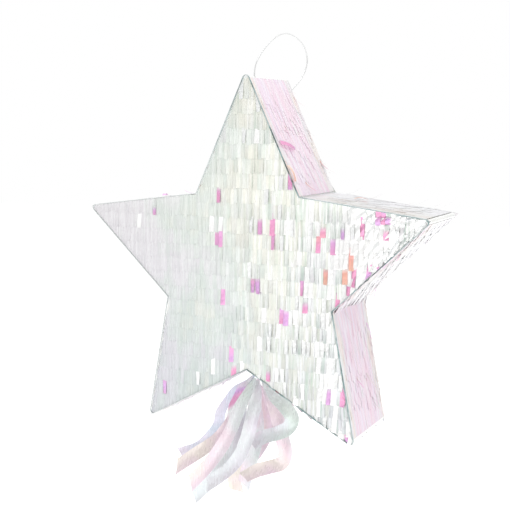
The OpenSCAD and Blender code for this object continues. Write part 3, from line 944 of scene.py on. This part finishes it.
def pleated_ball(name, spot, radius):
    """A knot of gathered film: a ball with pleats that run from pole to pole, and a turn of film round it."""
    deselect()
    bpy.ops.mesh.primitive_uv_sphere_add(segments=PLEATS * 4, ring_count=16, radius=radius, location=spot)
    bpy.ops.object.transform_apply(location=True, rotation=False, scale=False)
    ball = bpy.context.object
    for v in ball.data.vertices:
        arm = v.co - spot
        turn = math.atan2(arm.y, arm.x)
        v.co = spot + arm * (0.92 + 0.07 * math.cos(turn * PLEATS) + 0.03 * math.sin(turn * 5 + 1))
    bpy.ops.object.shade_smooth()
    bpy.ops.mesh.primitive_torus_add(major_segments=40, minor_segments=10, location=spot,
                                     major_radius=radius * 0.86, minor_radius=radius * 0.17)
    bpy.ops.object.transform_apply(location=True, rotation=False, scale=False)
    band = bpy.context.object
    for v in band.data.vertices:
        v.co.z += radius * 0.06 * math.sin(math.atan2(v.co.y - spot.y, v.co.x - spot.x) * 3)
    bpy.ops.object.shade_smooth()
    return join([ball, band], name)


# ---------------------------------------------------------------- operators

UNDOABLE = {"REGISTER", "UNDO"}
CAMERA_SPOT = (0.3961, -0.7872, 0.1306)  # from the star's middle
CAMERA_TURN, CAMERA_RISE = 27.4, 7.65  # degrees to the right and upwards, from straight in front
SENSOR_WIDTH = 36
STREAKS = (420, 420, 22)  # fine streaks that run down the front and the back
WALL_STREAKS = (40, 420, 40)  # and along the walls
DOOR_GAP = 1.2 * MM  # bare wall on three sides of the trap door
HINGE_GAP = 4 * MM  # and at its hinge
FLAP_GAP = 1.9 * MM  # bare back on both sides of the fill flap
FLAP_TOP_GAP = 1.2 * MM
HINGE_TAPE = 6.5 * MM  # how far the fill flap's hinge tape shows
FLOOR_SIZE, FLOOR_DROP = 12, 0.35
LIGHTS = (("key", (-0.48, -1.55, -0.30), (0.45, 0.9)), ("side", (1.40, -0.90, -0.10), (1.4, 1.4)),
          ("top", (-0.7, 0.5, 1.5), (1.2, 1.2)))  # place, and width and height


class PINATA_OT_camera(bpy.types.Operator):
    """Adds the camera, a little right of the front and a little above the star's middle"""
    bl_idname = "pinata.camera"
    bl_label = "Camera"
    bl_options = UNDOABLE

    def execute(self, context):
        deselect()
        azimuth, elevation = math.radians(CAMERA_TURN), math.radians(CAMERA_RISE)
        back = Vector((math.sin(azimuth) * math.cos(elevation), -math.cos(azimuth) * math.cos(elevation),
                       math.sin(elevation)))
        bpy.ops.object.camera_add(location=middle() + Vector(CAMERA_SPOT))
        camera = bpy.context.object
        camera.rotation_mode = "QUATERNION"
        camera.rotation_quaternion = (-back).to_track_quat("-Z", "Y")
        camera.data.lens = prop("stage").lens
        camera.data.sensor_width = SENSOR_WIDTH
        bpy.context.scene.camera = camera
        return {"FINISHED"}


class PINATA_OT_loop(bpy.types.Operator):
    """Makes the hanging loop of clear nylon line"""
    bl_idname = "pinata.loop"
    bl_label = "Hanging Loop"
    bl_options = UNDOABLE

    def execute(self, context):
        sizes, centre = prop("ribbons"), middle()
        line = [centre + Vector((0, p.x, p.y)) for p in smooth([(y, z, 0) for y, z in LOOP_ROUTE], 3)]
        curve = bpy.data.curves.new("nylon_loop", "CURVE")
        curve.dimensions = "3D"
        curve.bevel_depth = sizes.nylon / 2
        curve.bevel_resolution = 3
        curve.use_fill_caps = True
        spline = curve.splines.new("POLY")
        spline.points.add(len(line) - 1)
        for point, spot in zip(spline.points, line):
            point.co = (*spot, 1)
        spline.use_smooth = True
        piece = bpy.data.objects.new("nylon_loop", curve)
        bpy.context.collection.objects.link(piece)
        finish(piece, "loop", clear_nylon(), "hanging_loop", slot="nylon")
        return {"FINISHED"}


class PINATA_OT_ribbons(bpy.types.Operator):
    """Makes the pull ribbons, the knot that gathers them and the knot behind the trap door"""
    bl_idname = "pinata.ribbons"
    bl_label = "Pull Ribbons"
    bl_options = UNDOABLE

    def execute(self, context):
        film = ribbon_film()
        for number, (route, start, end) in enumerate(RIBBON_ROUTES, 1):
            piece = ribbon(number, route, start, end, random.Random(40 + number))
            finish(piece, "ribbons", film, "pull_ribbon_%d" % number, slot="ribbon_film")
        low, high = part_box("ribbon_gather")
        gather = pleated_ball("gathered_film", (low + high) / 2, (high.x - low.x) / 2)
        finish(gather, "ribbons", film, "ribbon_gather", slot="ribbon_film")
        finish(self.knot(), "trap_door", film, "ribbon_knot", slot="ribbon_film")
        return {"FINISHED"}

    def knot(self):
        """The knot inside the door, and the pleated neck that passes through the door's hole."""
        low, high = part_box("ribbon_knot")
        gather = sum(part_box("ribbon_gather"), Vector()) / 2
        radius = (high.y - low.y) / 2
        ball_spot = Vector((low.x + radius, (low.y + high.y) / 2, high.z - radius))
        ball = pleated_ball("knot", ball_spot, radius)
        run = ball_spot - gather
        deselect()
        bpy.ops.mesh.primitive_cylinder_add(vertices=PLEATS * 4, radius=radius * 0.64, depth=run.length * 0.62)
        neck = bpy.context.object
        for v in neck.data.vertices:
            if math.hypot(v.co.x, v.co.y) > radius * 0.1:
                swell = 1 + 0.09 * math.cos(math.atan2(v.co.y, v.co.x) * PLEATS)
                v.co.x, v.co.y = v.co.x * swell, v.co.y * swell
        neck.rotation_mode = "QUATERNION"
        neck.rotation_quaternion = run.to_track_quat("Z", "Y")
        neck.location = gather + run * 0.63
        bpy.ops.object.transform_apply(location=True, rotation=True, scale=False)
        bpy.ops.object.shade_smooth_by_angle(angle=math.radians(60))
        return join([ball, neck], "knotted_film")


class PINATA_OT_front_fringe(bpy.types.Operator):
    """Hangs the rows of fringe on the front"""
    bl_idname = "pinata.front_fringe"
    bl_label = "Front Fringe"
    bl_options = UNDOABLE

    def execute(self, context):
        rows = face_rows()
        film = iridescent_film("front fringe film", FRONT_SHADES, STREAKS, FRONT_PAINTED_SHADE)
        for index in range(rows):
            number = "%02d" % (index + 1)
            piece = face_row("front_strips_" + number, index, rows, -1, random.Random(100 + index))
            finish_fringe(piece, "shell", film, "front_fringe_" + number, "front_fringe")
        return {"FINISHED"}


class PINATA_OT_back_fringe(bpy.types.Operator):
    """Hangs the rows of fringe on the back and on the fill flap"""
    bl_idname = "pinata.back_fringe"
    bl_label = "Back Fringe"
    bl_options = UNDOABLE

    def execute(self, context):
        rows, window = face_rows(), flap_window()
        tape_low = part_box("hinge_tapes")[1].z - middle().z - HINGE_TAPE
        flap = (window[0] - FLAP_GAP, window[1] + FLAP_GAP, tape_low, window[3] + FLAP_TOP_GAP)
        above_hinge = (window[0], window[1], window[2] + 2 * MM, window[3])
        hole, line_end = 3 * MM, LOOP_ROUTE[-1][1]
        nylon = (-hole, hole, line_end - hole, line_end + hole)
        film = iridescent_film("back fringe film", FRONT_SHADES, STREAKS, FRONT_PAINTED_SHADE)
        back, cover = [], []
        for index in range(rows):
            back.append(face_row("back_row", index, rows, 1, random.Random(200 + index), (flap, nylon)))
            cover.append(face_row("flap_row", index, rows, 1, random.Random(240 + index), window=above_hinge))
        for made, name, body, node in ((back, "back_strips", "shell", "back_fringe"),
                                       (cover, "flap_strips", "fill_flap", "fill_flap_fringe")):
            finish_fringe(join([m for m in made if m], name), body, film, node, "back_fringe")
        return {"FINISHED"}


class PINATA_OT_wall_fringe(bpy.types.Operator):
    """Hangs the rows of fringe on the walls round each point and on the trap door"""
    bl_idname = "pinata.wall_fringe"
    bl_label = "Wall Fringe"
    bl_options = UNDOABLE

    def execute(self, context):
        film = iridescent_film("wall fringe film", WALL_SHADES, WALL_STREAKS, WALL_PAINTED_SHADE, "rose", "MIX", rough=0.3)
        names = ["top", "right", "lower_right", "lower_left", "left"]
        low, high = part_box("wall_fringe_top")
        depth = high.y - low.y
        near, far, y_low, y_high = door_patch()
        opening = (near - DOOR_GAP, far + HINGE_GAP, y_low - DOOR_GAP, y_high + DOOR_GAP)
        for point, name in enumerate(names):
            dice, made = random.Random(300 + point), []
            for side in (1, -1):
                wall = Wall(point, side)
                has_door = (name, side) == ("lower_left", 1)
                made += wall_rows("wall_rows", wall, dice, depth, opening if has_door else None)
                made.append(whiskers("stray_strips", wall, dice, depth))
                made += [lone_strip("lone_strip", wall, depth, *rest)
                         for at, *rest in LONE_STRIPS.get(name, []) if at == side]
            finish_fringe(join(made, "wall_strips_" + name), "shell", film, "wall_fringe_" + name, "wall_fringe")
        cover = (near + 0.3 * MM, far - 1.6 * MM, y_low + 0.2 * MM, y_high - 0.2 * MM)
        made = wall_rows("door_rows", Wall(names.index("lower_left"), 1), random.Random(320), depth, cover, door=True)
        finish_fringe(join(made, "door_strips"), "trap_door", film, "trap_door_fringe", "wall_fringe")
        return {"FINISHED"}


class PINATA_OT_edge_line(bpy.types.Operator):
    """Runs the dark cut edge of the front's base film round the front"""
    bl_idname = "pinata.edge_line"
    bl_label = "Edge Line"
    bl_options = UNDOABLE

    def execute(self, context):
        corners = Outline(0.1 * MM).points(8)
        inner = Outline(prop("star").edge_line).points(8)
        centre = middle()
        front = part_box("front_fringe_12")[0].y
        deselect()
        bpy.ops.mesh.primitive_circle_add(vertices=len(corners), radius=1)
        piece = name_piece("front_edge_line")
        edit(piece, bpy.ops.mesh.extrude_region_move)
        for v, (x, z) in zip(piece.data.vertices, corners + inner):
            v.co = (x, front + 0.2 * MM, z + centre.z)
        thicken(piece, 1.5 * MM)
        edit(piece, bpy.ops.mesh.normals_make_consistent, inside=False)
        finish(piece, "shell", dark_edge_film(), slot="dark_film")
        return {"FINISHED"}


class PINATA_OT_box(bpy.types.Operator):
    """Gives the card box, its tapes and its base film their finishes"""
    bl_idname = "pinata.box"
    bl_label = "Card Box"
    bl_options = UNDOABLE

    def execute(self, context):
        card, film = brown_card(), base_film()
        finishes = {"front_liner": film, "back_liner": film, "wall_liner": film, "inside_seam_tapes": paper_tape(),
                    "hinge_tapes": clear_film("clear tape", (0.80, 0.82, 0.84)),
                    "fill_flap_seal": clear_film("clear sticker", (0.85, 0.86, 0.88)),
                    "loop_knots": clear_nylon()}
        for name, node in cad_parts.items():
            if node.hide_render:
                continue
            material = finishes.get(name, card)
            node.data.materials.clear()
            node.data.materials.append(material)
        return {"FINISHED"}


class PINATA_OT_stage(bpy.types.Operator):
    """Adds a pale floor, white surroundings and soft lights"""
    bl_idname = "pinata.stage"
    bl_label = "Stage"
    bl_options = UNDOABLE

    def execute(self, context):
        deselect()
        bpy.ops.mesh.primitive_plane_add(size=FLOOR_SIZE, location=(0, 0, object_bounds()[0].z - FLOOR_DROP))
        floor = name_piece("floor")
        paper = Nodes("white paper")
        grain = paper.noise(30, detail=3)
        floor.data.materials.append(paper.set(
            Base_Color=paper.ramp(grain, [(0, (0.97, 0.97, 0.97)), (1, (0.99, 0.99, 0.99))]), Roughness=0.9,
            Emission_Color=(*WHITE, 1), Emission_Strength=0.18))
        floor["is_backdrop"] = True
        self.sky()
        for name, spot, size in LIGHTS:
            self.light(name + " light", spot, size, getattr(prop("stage"), name))
        scene = bpy.context.scene
        scene.view_settings.view_transform = "Standard"
        scene.view_settings.look = "None"
        return {"FINISHED"}

    def light(self, name, spot, size, power):
        aim = middle() - Vector(spot)
        bpy.ops.object.light_add(type="AREA", location=spot)
        light = bpy.context.object
        light.name = name
        light.data.shape = "RECTANGLE"
        light.data.size, light.data.size_y = size
        light.data.energy = power
        light.rotation_mode = "QUATERNION"
        light.rotation_quaternion = aim.to_track_quat("-Z", "Y")

    def sky(self):
        """Plain white behind the object, and slightly uneven white light for the film to mirror."""
        n = Nodes("white surroundings", "worlds", "Background")
        bpy.context.scene.world = n.owner
        around = n.add("TexCoord").outputs["Generated"]
        bands, direction = n.add("TexNoise", scale=2.2, detail=1), n.add("SeparateXYZ")
        n.link(around, bands.inputs["Vector"])
        n.link(around, direction.inputs[0])
        above = n.add("MapRange", to_min=0.03, to_max=0.90)
        behind = n.add("MapRange", from_max=0.8, to_max=0.28)
        n.link(direction.outputs["Z"], above.inputs["Value"])
        n.link(direction.outputs["Y"], behind.inputs["Value"])
        uneven = n.linear(bands.outputs["Fac"], 0.8, above.outputs["Result"])
        n.set(Color=n.maths("ADD", uneven, behind.outputs["Result"]), Strength=prop("stage").sky)
        backdrop, seen = n.add("Background"), n.add("MixShader")
        backdrop.inputs["Color"].default_value = (*WHITE, 1)
        n.link(n.add("LightPath").outputs["Is Camera Ray"], seen.inputs[0])
        n.link(n.shader.outputs["Background"], seen.inputs[1])
        n.link(backdrop.outputs["Background"], seen.inputs[2])
        n.link(seen.outputs["Shader"], n.tree.nodes["World Output"].inputs["Surface"])


OPERATORS = (PINATA_OT_camera, PINATA_OT_loop, PINATA_OT_ribbons, PINATA_OT_front_fringe, PINATA_OT_back_fringe,
             PINATA_OT_wall_fringe, PINATA_OT_edge_line, PINATA_OT_box, PINATA_OT_stage)


class PINATA_PT_panel(bpy.types.Panel):
    """Lists the pieces and the sizes and colours they use"""
    bl_idname = "PINATA_PT_panel"
    bl_label = "Star Pinata"
    bl_space_type = "VIEW_3D"
    bl_region_type = "UI"
    bl_category = "Pinata"

    def draw(self, context):
        for operator in OPERATORS:
            self.layout.operator(operator.bl_idname)
        for name in GROUPS:
            group = getattr(context.scene, name)
            column = self.layout.column(align=True)
            for key in group.__annotations__:
                column.prop(group, key)


def register():
    for name, group in GROUPS.items():
        bpy.utils.register_class(group)
        setattr(bpy.types.Scene, name, bpy.props.PointerProperty(type=group))
    for operator in OPERATORS:
        bpy.utils.register_class(operator)
    bpy.utils.register_class(PINATA_PT_panel)


def unregister():
    bpy.utils.unregister_class(PINATA_PT_panel)
    for operator in reversed(OPERATORS):
        bpy.utils.unregister_class(operator)
    for name, group in reversed(GROUPS.items()):
        delattr(bpy.types.Scene, name)
        bpy.utils.unregister_class(group)


def main():
    register()
    for operator in OPERATORS:
        group, action = operator.bl_idname.split(".")
        getattr(getattr(bpy.ops, group), action)()


if __name__ == "__main__":
    main()
